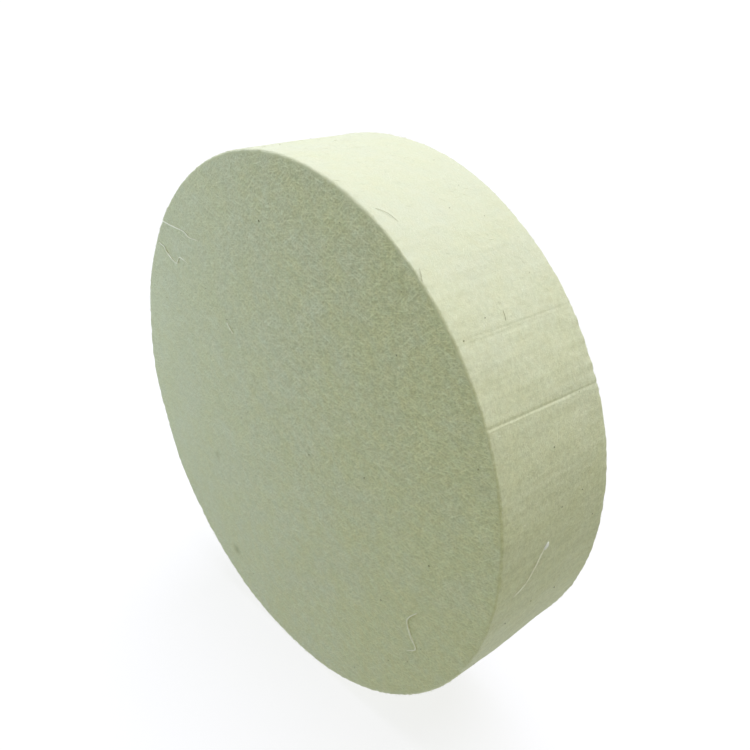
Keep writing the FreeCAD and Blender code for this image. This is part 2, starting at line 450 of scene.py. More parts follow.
def round_grid(cells):
    """A square grid pressed into a unit disc, as clock angles and radii, with its boundary in clock order."""
    steps = np.linspace(-1, 1, cells + 1)
    up, across = np.meshgrid(steps, steps, indexing="ij")
    tall = np.abs(up) >= np.abs(across)
    radius = np.where(tall, up, across)
    with np.errstate(divide="ignore", invalid="ignore"):
        angle = np.where(tall, across / up, 2 - up / across) * math.pi / 4
    angle = np.nan_to_num(angle)
    clock = np.where(radius < 0, angle + math.pi, angle) % FULL_TURN
    radius = np.abs(radius)
    number = np.arange(clock.size).reshape(clock.shape)
    rim = np.unique(np.concatenate([number[0], number[-1], number[:, 0], number[:, -1]]))
    order = np.round(clock.ravel()[rim] / FULL_TURN * 4 * cells).astype(int) % (4 * cells)
    boundary = rim[np.argsort(order)]
    quads = np.stack([number[:-1, :-1], number[1:, :-1], number[1:, 1:], number[:-1, 1:]], axis=-1)
    return clock.ravel(), radius.ravel(), quads.reshape(-1, 4).tolist(), boundary


def gathered(clock):
    """Evenly spaced clock angles, moved so that they lie closer together round the two drawn lines."""
    moved = clock
    for line in (SCORED_LINE, DOUBLE_LINE):
        off = clock - math.radians(sum(line) / 2)
        moved = moved - GATHER * off * np.exp(-((off / GATHER_REACH) ** 2))
    return moved


def groove(distance, width, depth, lip):
    """A scored line's height at a distance across it: a groove with a raised lip on its far side."""
    cut = -depth * np.exp(-((distance / width) ** 2))
    raised = lip * np.exp(-(((distance - 1.7 * width) / width) ** 2))
    return cut + raised


def rim_marks(clock, station):
    """The height of the cutter's marks on the rim."""
    clock = np.asarray(clock)
    along = (station - FACE_Y) / (FELT_BACK_Y - FACE_Y)
    random = np.random.default_rng(RANDOM_SEED)
    height = np.zeros(np.broadcast(clock, station).shape)
    for _ in range(CUT_WAVES):
        turns = round(FULL_TURN * WHEEL_RADIUS / (CUT_PITCH * random.uniform(0.7, 1.5)))
        lean = random.uniform(-0.6, 0.6)
        height = height + np.cos(turns * clock + lean * along + random.uniform(0, FULL_TURN))
    height = height / math.sqrt(CUT_WAVES)
    patches = np.sin(clock) ** 4 * (0.8 + 0.3 * np.cos(7 * clock + 2.0 + 2.2 * along)) + 0.12
    height = CUT_DEPTH * height * patches

    def across(line, shift=0.0):
        centre = np.radians(line[0] + (line[1] - line[0]) * along)
        return WHEEL_RADIUS * ((clock - centre + math.pi) % FULL_TURN - math.pi) - shift

    height = height + groove(across(SCORED_LINE), *SCORED_GROOVE)
    fade = 0.55 + 0.45 * np.sin(math.pi * np.clip(along, 0, 1))
    for shift in (0.0, DOUBLE_LINE_GAP):
        height = height + groove(across(DOUBLE_LINE, shift), *DOUBLE_GROOVE) * fade
    return height


def felt_relief(points):
    """How far the felt's surface stands off its true shape at these points, without the rim's marks."""
    relief = 0
    for i, (height, wavelength) in enumerate(UNEVENNESS, start=1):
        relief = relief + height * ripples(points, wavelength, RANDOM_SEED + i)
    radius = np.hypot(points[..., 0], points[..., 2])
    inside = np.minimum(points[..., 1] - FACE_Y, FELT_BACK_Y - points[..., 1])
    worn = np.exp(-((np.hypot(radius - WHEEL_RADIUS, inside) / EDGE_WEAR_REACH) ** 2))
    depth, wavelength = EDGE_WEAR
    return relief + depth * worn * (ripples(points, wavelength, RANDOM_SEED + 4) - 0.5)


def make_felt(material):
    """The felt disc, with its soft edges, cut rim and the stepped pocket in its back."""
    clock, radius, faces, boundary = round_grid(FACE_CELLS)
    flat_radius = WHEEL_RADIUS - EDGE_RADIUS
    clock = clock + (gathered(clock) - clock) * radius**8
    face = on_wheel(clock, radius * flat_radius, FACE_Y)
    points = [face]
    outward = [np.tile(-AXIS, (len(face), 1))]
    on_rim = [np.zeros(len(face))]

    around = gathered(np.arange(4 * FACE_CELLS) / (4 * FACE_CELLS) * FULL_TURN)
    # Each row: a radius and station, how far its normal looks out and back, and the rounding that it adds
    rows = []
    for angle in np.linspace(0, math.pi / 2, EDGE_ROWS + 1)[1:]:
        rows.append((flat_radius, FACE_Y + EDGE_RADIUS, math.sin(angle), -math.cos(angle), EDGE_RADIUS))
    for station in np.linspace(FACE_Y + EDGE_RADIUS, FELT_BACK_Y - EDGE_RADIUS, RIM_ROWS + 1)[1:-1]:
        rows.append((flat_radius, station, 1, 0, EDGE_RADIUS))
    for angle in np.linspace(math.pi / 2, 0, EDGE_ROWS + 1):
        rows.append((flat_radius, FELT_BACK_Y - EDGE_RADIUS, math.sin(angle), math.cos(angle), EDGE_RADIUS))
    shown = np.linspace(flat_radius, PLATE_RADIUS - 1 * MM, BACK_ROWS)[1:]
    hidden = [FILM_RADIUS - 6 * MM, FILM_RADIUS - 12 * MM, POCKET_RADIUS]
    for r in [*shown, *hidden]:
        rows.append((r, FELT_BACK_Y, 0, 1, 0))
    for r, station in (
        (POCKET_RADIUS, POCKET_FLOOR_Y),
        (WELL_RADIUS, POCKET_FLOOR_Y),
        (WELL_RADIUS, WELL_FLOOR_Y),
        (WELL_RADIUS / 4, WELL_FLOOR_Y),
    ):
        rows.append((r, station, 0, 0, 0))
    for r, station, out, back, bend in rows:
        points.append(on_wheel(around, r + out * bend, station + back * bend))
        outward.append(out * on_wheel(around, 1, 0) + back * AXIS)
        on_rim.append(np.full(len(around), float(out)))

    previous = boundary
    count = len(face)
    for _ in rows:
        current = np.arange(count, count + len(around))
        faces += band(previous, current)
        previous = current
        count += len(around)
    faces.append(previous.tolist())

    points, outward, on_rim = (np.concatenate(parts) for parts in (points, outward, on_rim))
    clock = np.arctan2(points[:, 0], points[:, 2])
    height = felt_relief(points) + on_rim * rim_marks(clock, points[:, 1])
    points = points + outward * height[:, None]
    felt = make_piece("felt_disc", points, faces, material, sharp_above=60)
    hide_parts("felt_wheel")


# ----------------------------------------------------------------------
# Fibres
# ----------------------------------------------------------------------

# Fibres tried on each surface. On the face, the back and the rim, those that would leave it are dropped.
FACE_FIBRE_COUNT = 6000
BACK_FIBRE_COUNT = 2600
RIM_FIBRE_COUNT = 5000
EDGE_FIBRE_COUNT = 2200

FIBRE_SIDES = 3
FIBRE_POINTS = 6
FIBRE_BEND = 0.6
FIBRE_TWIST = 0.9
FIBRE_HEADING = 0.27  # most fibres on the flat sides lie near this angle above level, in radians
FIBRE_SPREAD = 0.4
RIM_FIBRE_SPREAD = 0.75
FACE_FIBRE_RADIUS = 0.024 * MM
RIM_FIBRE_RADIUS = 0.02 * MM
EDGE_FIBRE_RADIUS = 0.018 * MM
EDGE_FIBRE_SINK = 0.03 * MM  # how deep a loose end is rooted


def tubes(name, paths, radius, material):
    """Many thin closed tubes as one piece. paths is fibre by point by xyz, and radius is fibre by point."""
    count, length, _ = paths.shape
    tangent = np.gradient(paths, axis=1)
    tangent /= np.linalg.norm(tangent, axis=2)[..., None] + 1e-12
    lean = np.where(np.abs(tangent[:, :1, 1:2]) < 0.8, AXIS, np.array([1.0, 0.0, 0.0]))
    side = np.cross(tangent, np.broadcast_to(lean, tangent.shape))
    side /= np.linalg.norm(side, axis=2)[..., None] + 1e-12
    other = np.cross(tangent, side)
    turn = np.arange(FIBRE_SIDES) / FIBRE_SIDES * FULL_TURN
    ring = side[:, :, None] * np.cos(turn)[:, None] + other[:, :, None] * np.sin(turn)[:, None]
    vertices = paths[:, :, None] + radius[:, :, None, None] * ring
    number = np.arange(count * length * FIBRE_SIDES).reshape(count, length, FIBRE_SIDES)
    nxt = np.roll(number, -1, axis=2)
    quads = np.stack([number[:, :-1], nxt[:, :-1], nxt[:, 1:], number[:, 1:]], axis=-1).reshape(-1, 4)
    caps = np.concatenate([number[:, 0, ::-1], number[:, -1]])
    make_piece(name, vertices, quads.tolist() + caps.tolist(), material)


def tapered(count, length, thickest, random):
    """Each fibre's radius along it: its own thickness, fading towards both ends."""
    along = np.linspace(0, 1, length)
    fade = 0.35 + 0.65 * np.sin(math.pi * along) ** 0.5
    return thickest * random.uniform(0.6, 1.0, (count, 1)) * fade


def lying_paths(shortest, longest, random, turn):
    """Flat curved paths about the origin, as two arrays of distances. turn is each path's heading."""
    count = len(turn)
    along = np.linspace(-0.5, 0.5, FIBRE_POINTS)
    size = random.uniform(shortest, longest, (count, 1))
    bend = random.normal(0, FIBRE_BEND, (count, 1))
    twist = random.normal(0, FIBRE_TWIST, (count, 1))
    heading = turn[:, None] + bend * along + twist * along**2
    step = size / (FIBRE_POINTS - 1)
    first = np.cumsum(step * np.cos(heading), axis=1)
    second = np.cumsum(step * np.sin(heading), axis=1)
    return first - first.mean(axis=1, keepdims=True), second - second.mean(axis=1, keepdims=True)


def lift(count, rise, sink, random):
    """Each fibre's height off the felt: its ends are matted in and its middle stands proud."""
    along = np.linspace(0, 1, FIBRE_POINTS)
    arch = np.sin(math.pi * along) * random.uniform(0.2, 1.0, (count, 1))
    return rise * arch - sink


def face_fibres(name, count, station, inner, sign, seed, material):
    """Matted fibres on the felt's face or back. sign is the way that the surface looks along Y."""
    random = np.random.default_rng(seed)
    radius = np.sqrt(random.uniform(inner**2, (WHEEL_RADIUS - EDGE_RADIUS) ** 2, count))
    clock = random.uniform(0, FULL_TURN, count)
    heading = random.normal(FIBRE_HEADING, FIBRE_SPREAD, count)
    across, up = lying_paths(0.5 * MM, 2.0 * MM, random, heading)
    x = radius[:, None] * np.sin(clock)[:, None] + across
    z = radius[:, None] * np.cos(clock)[:, None] + up
    reached = np.hypot(x, z)
    keep = (reached.max(axis=1) < WHEEL_RADIUS - EDGE_RADIUS / 2) & (reached.min(axis=1) > inner)
    # Fewer fibres stay towards the felt's lower left
    stay = np.clip(0.7 + (z.mean(axis=1) + 0.5 * x.mean(axis=1)) / (90 * MM), 0.35, 1)
    keep &= random.uniform(0, 1, count) < stay
    x, z = x[keep], z[keep]
    points = np.stack([x, np.full_like(x, station), z], axis=-1)
    height = felt_relief(points) + lift(len(x), 0.03 * MM, 0.01 * MM, random)
    points[..., 1] += sign * height
    tubes(name, points, tapered(len(x), FIBRE_POINTS, FACE_FIBRE_RADIUS, random), material)


def rim_fibres(name, count, seed, material):
    """Matted fibres on the rim, most of them lying along the cut."""
    random = np.random.default_rng(seed)
    clock = random.uniform(0, FULL_TURN, count)
    station = random.uniform(FACE_Y + EDGE_RADIUS, FELT_BACK_Y - EDGE_RADIUS, count)
    heading = random.normal(math.pi / 2, RIM_FIBRE_SPREAD, count)
    across, along = lying_paths(0.4 * MM, 2.0 * MM, random, heading)
    clock = clock[:, None] + across / WHEEL_RADIUS
    station = station[:, None] + along
    keep = station.min(axis=1) > FACE_Y + EDGE_RADIUS / 2
    keep &= station.max(axis=1) < FELT_BACK_Y - EDGE_RADIUS / 2
    clock, station = clock[keep], station[keep]
    surface = on_wheel(clock, WHEEL_RADIUS, station)
    height = felt_relief(surface) + rim_marks(clock, station)
    height = height + lift(len(clock), 0.02 * MM, 0.012 * MM, random)
    points = on_wheel(clock, WHEEL_RADIUS + height, station)
    tubes(name, points, tapered(len(clock), FIBRE_POINTS, RIM_FIBRE_RADIUS, random), material)


def edge_fuzz(name, count, station, sign, seed, material):
    """Loose fibre ends along one of the wheel's two edges. sign is the way that its flat side looks."""
    random = np.random.default_rng(seed)
    clock = random.uniform(0, FULL_TURN, count)[:, None]
    slope = random.uniform(-0.1, math.pi / 2 + 0.1, count)[:, None]
    out = np.sin(slope)
    side = np.cos(slope)
    along = np.linspace(0, 1, FIBRE_POINTS)
    reach = random.gamma(2.0, 0.08 * MM, (count, 1)) + 0.08 * MM
    curl = random.normal(0, 0.7, (count, 1)) * along**2
    drift = random.normal(0, 0.9, (count, 1)) * along
    rise = along * random.uniform(0.25, 0.8, (count, 1))
    base_radius = WHEEL_RADIUS - EDGE_RADIUS + out * (EDGE_RADIUS - EDGE_FIBRE_SINK)
    base_station = station - sign * EDGE_RADIUS + sign * side * (EDGE_RADIUS - EDGE_FIBRE_SINK)
    radius = base_radius + reach * (out * rise + curl * side * 0.5)
    height = base_station + sign * reach * (side * rise - curl * out * 0.5)
    angle = clock + reach * drift / WHEEL_RADIUS
    points = on_wheel(angle, radius, height)
    tubes(name, points, tapered(count, FIBRE_POINTS, EDGE_FIBRE_RADIUS, random), material)


# ----------------------------------------------------------------------
# Loose hairs and lint, each with the points of its own route
# ----------------------------------------------------------------------

# On the face: x and z in millimetres from the wheel's centre
FACE_HAIRS = {
    "left_upper": [(-38.6, 31.6), (-35.8, 31.4), (-33.0, 31.3), (-30.2, 31.2), (-28.2, 30.4), (-24.9, 30.5)],
    "left_lower": [(-41.0, 26.6), (-38.6, 26.2), (-37.6, 25.1), (-34.3, 24.0), (-32.8, 25.5), (-29.4, 24.9)],
    "short": [(-17.4, 16.6), (-16.2, 15.6), (-15.4, 14.8)],
    "looped": [(34.1, -18.3), (31.8, -21.4), (32.8, -24.4), (33.9, -26.2), (31.8, -28.2)],
}
# On the rim: clock angle in degrees, and distance from the rim's middle in millimetres
RIM_HAIRS = {
    "long": [(91.2, -2.6), (93.2, -4.0), (95.0, -5.0), (97.2, -6.3), (98.8, -8.4)],
    "upper": [(25.8, -10.6), (27.4, -9.7), (29.6, -9.0)],
    "mid": [(49.7, -1.5), (50.6, -1.8), (51.5, -1.9)],
    "speck": [(48.3, -1.7), (48.5, -1.2)],
    "edge": [(41.2, -12.2), (40.1, -11.9), (38.8, -11.3)],
}
HAIR_STEPS = 6  # points for each stretch of a hair's route
WISP_FIBRES = 3
FACE_HAIR_THICKNESS = 0.16 * MM
LONG_HAIR_THICKNESS = 0.1 * MM
DARK_HAIR_THICKNESS = 0.028 * MM


def smooth_route(points):
    """A smooth curve through these points."""
    points = np.array(points, float)
    padded = np.concatenate([2 * points[:1] - points[1:2], points, 2 * points[-1:] - points[-2:-1]])
    route = []
    for i in range(1, len(padded) - 2):
        p0, p1, p2, p3 = padded[i - 1 : i + 3]
        for t in np.arange(HAIR_STEPS) / HAIR_STEPS:
            bend = 2 * p0 - 5 * p1 + 4 * p2 - p3
            curl = 3 * p1 - p0 - 3 * p2 + p3
            route.append(0.5 * (2 * p1 + (p2 - p0) * t + bend * t**2 + curl * t**3))
    route.append(points[-1])
    return np.array(route)


def make_hair(name, points, thickness, material):
    """One loose wisp of a few fibres that wind round each other, whose ends touch the felt."""
    random = np.random.default_rng(RANDOM_SEED)
    along = np.linspace(0, 1, len(points))
    strands = []
    for i in range(WISP_FIBRES):
        turn = FULL_TURN * (i / WISP_FIBRES + random.uniform(1, 2) * along)
        swing = np.stack([np.cos(turn), np.sin(turn), np.cos(turn + 1)], axis=1)
        strands.append(points + 0.6 * thickness * swing)
    paths = np.array(strands)
    radius = np.tile(0.55 * thickness * (0.5 + 0.5 * np.sin(math.pi * along) ** 0.3), (WISP_FIBRES, 1))
    tubes("hair_" + name, paths, radius, material)


def make_hairs(pale, dark):
    """The loose hairs that the photo shows. Those on the rim are dark, apart from the long one."""
    for name, route in FACE_HAIRS.items():
        flat = smooth_route(route) * MM
        rise = 0.05 * MM * np.sin(math.pi * np.linspace(0, 1, len(flat)))
        points = np.stack([flat[:, 0], np.full(len(flat), FACE_Y), flat[:, 1]], axis=1)
        points[:, 1] -= felt_relief(points) + rise + 0.04 * MM
        make_hair(name, points, FACE_HAIR_THICKNESS, pale)
    for name, route in RIM_HAIRS.items():
        flat = smooth_route(route)
        clock = np.radians(flat[:, 0])
        station = MIDDLE_Y + flat[:, 1] * MM
        rise = 0.14 * MM * np.sin(math.pi * np.linspace(0, 1, len(flat)))
        surface = on_wheel(clock, WHEEL_RADIUS, station)
        points = on_wheel(clock, WHEEL_RADIUS + felt_relief(surface) + rise + 0.03 * MM, station)
        if name == "long":
            make_hair(name, points, LONG_HAIR_THICKNESS, pale)
        else:
            make_hair(name, points, DARK_HAIR_THICKNESS, dark)


# Specks of plant matter, in the same units as the hairs. The rest lie where chance puts them.
FACE_SPECKS = [(-4.6, 38.3), (-12.5, -0.3), (6.4, -1.2), (21.1, 1.1), (36.2, -7.6), (44.7, 13.9)]
RIM_SPECKS = [(73.7, -0.1), (85.1, 0.9), (84.1, 5.8), (52.1, -10.8)]
MORE_SPECKS = 45
MORE_SPECKS_REACH = 47  # how far from the face's centre
MORE_SPECKS_SPREAD = 11  # how far from the rim's middle
SPECK_REACH = 0.2 * MM
SPECK_POINTS = 5
RIM_SPECK_SHARE = 0.75  # the size of the listed specks on the rim, against those on the face
TUFT_ROUTE = [(90.4, -2.0), (91.0, -2.5), (91.6, -3.0)]  # as the hairs on the rim
TUFT_REACH = 0.28 * MM
TUFT_FIBRES = 60
TUFT_FIBRE_RADIUS = 0.04 * MM


def make_specks(material):
    """Small dark chips caught in the felt's face and rim."""
    random = np.random.default_rng(RANDOM_SEED + 21)
    clock, radius, station, normal = [], [], [], []

    def on_face(x, z):
        clock.append(math.atan2(x, z))
        radius.append(math.hypot(x, z) * MM)
        station.append(FACE_Y)
        normal.append(-AXIS)

    def on_rim(degrees, y):
        clock.append(math.radians(degrees))
        radius.append(WHEEL_RADIUS)
        station.append(MIDDLE_Y + y * MM)
        normal.append(on_wheel(clock[-1], 1, 0))

    for x, z in FACE_SPECKS:
        on_face(x, z)
    for degrees, y in RIM_SPECKS:
        on_rim(degrees, y)
    listed = len(clock)
    for _ in range(MORE_SPECKS):
        reach = MORE_SPECKS_REACH * math.sqrt(random.uniform())
        turn = random.uniform(0, FULL_TURN)
        on_face(reach * math.sin(turn), reach * math.cos(turn))
        on_rim(random.uniform(0, 360), random.uniform(-MORE_SPECKS_SPREAD, MORE_SPECKS_SPREAD))
    clock, radius, station, normal = (np.array(values) for values in (clock, radius, station, normal))
    points = on_wheel(clock, radius, station)
    points = points + normal * (felt_relief(points) + 0.01 * MM)[:, None]
    along = np.cross(normal, on_wheel(clock + 1, 1, 0) + 0.3 * AXIS)
    along = along / np.linalg.norm(along, axis=1)[:, None]
    size = SPECK_REACH * random.uniform(0.35, 0.8, len(points))
    size[:listed] = SPECK_REACH
    size[len(FACE_SPECKS) : listed] *= RIM_SPECK_SHARE
    steps = np.linspace(-1, 1, SPECK_POINTS)
    paths = points[:, None] + along[:, None] * (steps[:, None] * size[:, None, None])
    paths = paths + normal[:, None] * (0.3 * size[:, None] * (1 - steps**2))[..., None]
    uneven = random.uniform(0.7, 1.2, (len(points), SPECK_POINTS))
    tubes("specks", paths, size[:, None] * (0.25 + 0.5 * (1 - steps**2)) * uneven, material)


def make_tuft(material):
    """A small spindle of loose fibres side by side, at the top of the long hair on the rim."""
    random = np.random.default_rng(RANDOM_SEED + 22)
    route = smooth_route(TUFT_ROUTE)
    along = np.linspace(0, 1, len(route))
    bulge = TUFT_REACH * np.sin(math.pi * along) ** 0.7
    side = random.normal(0, 0.45, (TUFT_FIBRES, 1)) + random.normal(0, 0.1, (TUFT_FIBRES, len(route)))
    rise = np.abs(random.normal(0, 0.35, (TUFT_FIBRES, 1))) + 0.1 * np.sin(math.pi * along)
    clock = np.radians(route[:, 0]) + side * bulge / WHEEL_RADIUS
    station = MIDDLE_Y + route[:, 1] * MM + 0.4 * side * bulge
    radius = WHEEL_RADIUS + 0.12 * MM + rise * bulge
    paths = on_wheel(clock, radius, station)
    tubes("tuft", paths, tapered(TUFT_FIBRES, len(route), TUFT_FIBRE_RADIUS, random), material)


# ----------------------------------------------------------------------
# The hub, plate and fixings
# ----------------------------------------------------------------------

HEX_SIDES = 6
HEX_SIDE_COLUMNS = 40
HUB_CORNER = 0.18 * MM
THREAD_ROWS = 140

# The glass yarns in the backing plate
MESH_PITCH = 3.6 * MM
MESH_HEIGHT = 0.14 * MM
YARN_HALF_WIDTH = 0.65 * MM
PLATE_COLUMNS = 720
PLATE_ROWS = 62
PLATE_CHAMFER = 0.8 * MM

BEAD_COLUMNS = 480
BEAD_WIDTH = 0.75 * MM
BEAD_RISE = 0.55 * MM

RIVET_COLUMNS = 48
RIVET_FLASH = 0.25 * MM
RIVET_FLASH_HEIGHT = 0.18 * MM
RIVET_TIP = 0.04 * MM  # radius of the small flat that closes each end


def hub_clock():
    """Clock angles round the hub, closer together at the hexagon's corners."""
    share = np.arange(HEX_SIDE_COLUMNS) / HEX_SIDE_COLUMNS
    share = share - 0.85 * np.sin(FULL_TURN * share) / FULL_TURN
    sides = np.arange(HEX_SIDES)[:, None]
    return ((sides + share) / HEX_SIDES * FULL_TURN).ravel()


def thread_radius(clock, station):
    """The wall of the M14 x 2 thread: a right-handed groove, opened by a countersink at both ends."""
    turn = (station / THREAD_PITCH - clock / FULL_TURN) % 1
    from_root = np.abs(turn - 0.5) * THREAD_PITCH
    root_half = THREAD_PITCH / 16
    flank = THREAD_PITCH * 5 / 16
    climb = np.clip((from_root - root_half) / flank, 0, 1)
    wall = THREAD_MAJOR_RADIUS + (THREAD_MINOR_RADIUS - THREAD_MAJOR_RADIUS) * climb
    depth = min(SEAT_Y - station, station - HUB_FRONT_Y)
    return np.maximum(wall, COUNTERSINK_RADIUS - depth * COUNTERSINK_SLOPE)


def make_hub(material):
    """The hub with its spanner hexagon, flange, nose and thread."""
    clock = hub_clock()
    sixth = FULL_TURN / HEX_SIDES
    from_flat = clock % sixth - sixth / 2
    corner = HEX_HALF_WIDTH / math.cos(sixth / 2) - HUB_CORNER
    hexagon = np.minimum(HEX_HALF_WIDTH / np.cos(from_flat), corner)
    cone_foot = SEAT_Y - (hexagon - SEAT_RADIUS) * math.tan(math.radians(30))
    corners = [
        (COUNTERSINK_RADIUS, SEAT_Y, False),
        (SEAT_RADIUS, SEAT_Y, True),
        (hexagon, cone_foot, True),
        (hexagon, FLANGE_BACK_Y, True),
        (FLANGE_RADIUS - FLANGE_CHAMFER, FLANGE_BACK_Y, True),
        (FLANGE_RADIUS, FLANGE_BACK_Y - FLANGE_CHAMFER, True),
        (FLANGE_RADIUS, PLATE_BACK_Y, True),
        (NOSE_RADIUS, PLATE_BACK_Y, False),
        (NOSE_RADIUS, HUB_FRONT_Y, True),
        (COUNTERSINK_RADIUS, HUB_FRONT_Y, False),
    ]
    outline = eased(corners, HUB_CORNER)
    for station in np.linspace(HUB_FRONT_Y, SEAT_Y, THREAD_ROWS)[1:-1]:
        outline.append((thread_radius(clock, station), station))
    rows = lathe(outline, clock)
    faces = ring_faces(rows, closed=True)
    hub = make_piece("hub", rows, faces, material, sharp_above=35)
    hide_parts("threaded_hub")


def mesh_relief(points):
    """The height of the open glass mesh that shows through the backing plate's resin."""
    x, z = points[..., 0], points[..., 2]
    height = np.zeros(x.shape)
    for across, along in ((x, z), (z, x)):
        row = np.round(across / MESH_PITCH)
        off = across - row * MESH_PITCH
        yarn = np.exp(-((off / YARN_HALF_WIDTH) ** 2))
        over = 0.65 + 0.35 * np.cos(math.pi * (along / MESH_PITCH + row))
        height = np.maximum(height, yarn * over)
    inside = np.clip((PLATE_RADIUS - 1.2 * MM - np.hypot(x, z)) / (2 * MM), 0, 1)
    return MESH_HEIGHT * height * inside


def make_plate(material):
    """The backing plate: a moulded edge, and the glass mesh standing up a little on its back."""
    clock = np.arange(PLATE_COLUMNS) / PLATE_COLUMNS * FULL_TURN
    hole = NOSE_RADIUS + 0.1 * MM
    sunk = PLATE_BACK_Y - MESH_HEIGHT
    corners = [
        (hole, PLATE_FRONT_Y, False),
        (PLATE_RADIUS, PLATE_FRONT_Y, True),
        (PLATE_RADIUS, PLATE_BACK_Y - PLATE_CHAMFER, True),
        (PLATE_RADIUS - PLATE_CHAMFER, sunk, False),
    ]
    outline = eased(corners, 0.2 * MM)
    first_relief = len(outline)
    for radius in np.linspace(PLATE_RADIUS - PLATE_CHAMFER, FLANGE_RADIUS - 1 * MM, PLATE_ROWS)[1:]:
        outline.append((radius, sunk))
    outline.append((hole, sunk))
    rows = lathe(outline, clock)
    rows[first_relief:, :, 1] += mesh_relief(rows[first_relief:])
    faces = ring_faces(rows, closed=True)
    plate = make_piece("plate", rows, faces, material, sharp_above=50)
    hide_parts("backing_plate")


def make_adhesive(material):
    """The adhesive film, with an uneven bead squeezed out round the plate's edge."""
    clock = np.arange(BEAD_COLUMNS) / BEAD_COLUMNS * FULL_TURN
    points = on_wheel(clock, PLATE_RADIUS, FELT_BACK_Y)
    uneven = 0.5 + 0.3 * ripples(points, 7 * MM, RANDOM_SEED + 7)
    uneven = uneven + 0.15 * ripples(points, 2.4 * MM, RANDOM_SEED + 8)
    swell = np.clip(uneven, 0.12, 1.2)
    wide = BEAD_WIDTH * swell
    tall = PLATE_FRONT_Y + BEAD_RISE * swell
    outline = [
        (POCKET_RADIUS, FELT_BACK_Y),
        (POCKET_RADIUS, PLATE_FRONT_Y),
        (PLATE_RADIUS, PLATE_FRONT_Y),
        (PLATE_RADIUS, tall),
    ]
    for angle in np.linspace(0, math.pi / 2, 6)[1:]:
        rise = (tall - FELT_BACK_Y) * math.cos(angle)
        outline.append((PLATE_RADIUS + wide * math.sin(angle), FELT_BACK_Y + rise))
    rows = lathe(outline, clock)
    faces = ring_faces(rows, closed=True)
    glue = make_piece("adhesive_bead", rows, faces, material, sharp_above=60)
    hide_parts("adhesive_film")


def make_rivet(number, material):
    """One rivet: a domed head with a thin flash round its foot, a shank and a flat formed head."""
    clock = np.arange(RIVET_COLUMNS) / RIVET_COLUMNS * FULL_TURN
    place = on_wheel(number / RIVET_COUNT * FULL_TURN, RIVET_CIRCLE_RADIUS, 0)
    dome_foot = FLANGE_BACK_Y + RIVET_FLASH_HEIGHT
    dome_height = RIVET_BACK_Y - dome_foot
    outline = [(RIVET_TIP, RIVET_BACK_Y - 0.12 * MM), (0.35 * MM, RIVET_BACK_Y - 0.06 * MM)]
    for angle in np.linspace(0.2, math.pi / 2, 9):
        radius = (RIVET_HEAD_RADIUS - RIVET_FLASH) * math.sin(angle)
        outline.append((radius, dome_foot + dome_height * math.cos(angle) ** 0.8))
    outline += [
        (RIVET_HEAD_RADIUS, FLANGE_BACK_Y + 0.1 * MM),
        (RIVET_HEAD_RADIUS, FLANGE_BACK_Y),
        (RIVET_SHANK_RADIUS, FLANGE_BACK_Y),
        (RIVET_SHANK_RADIUS, RING_FRONT_Y),
        (RIVET_HEAD_RADIUS, RING_FRONT_Y),
        (RIVET_HEAD_RADIUS, RIVET_FRONT_Y + 0.2 * MM),
        (RIVET_HEAD_RADIUS - 0.2 * MM, RIVET_FRONT_Y),
        (RIVET_TIP, RIVET_FRONT_Y),
    ]
    rows = lathe(outline, clock) + place
    faces = ring_faces(rows, closed=False)
    last = (len(rows) - 1) * len(clock)
    faces.append(list(range(len(clock))))
    faces.append(list(range(last, last + len(clock))))
    rivet = make_piece(f"rivet_{number + 1}", rows, faces, material, sharp_above=40)
    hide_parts("hub_rivets")


# ----------------------------------------------------------------------
# Floor, light and camera
# ----------------------------------------------------------------------


def only_seen(obj):
    """Lets the camera see a stage object without its light reaching the wheel."""
    obj.visible_diffuse = False
    obj.visible_glossy = False
    obj.visible_transmission = False
    obj.visible_shadow = False


FLOOR_SIZE = 8
BACKDROP_RADIUS = 3.5
TENT_RADIUS = 3
TENT_GLOW = 0.35
# The bright panels that the metal parts mirror: direction, where each starts and is full, and strength
TENT_PANELS = [
    ((0.1, 0.35, 1.0), 0.45, 0.85, 1.1),
    ((-0.9, 0.8, 0.25), 0.75, 0.9, 0.7),
    ((0.9, 0.9, 0.1), 0.86, 0.93, 0.55),
]


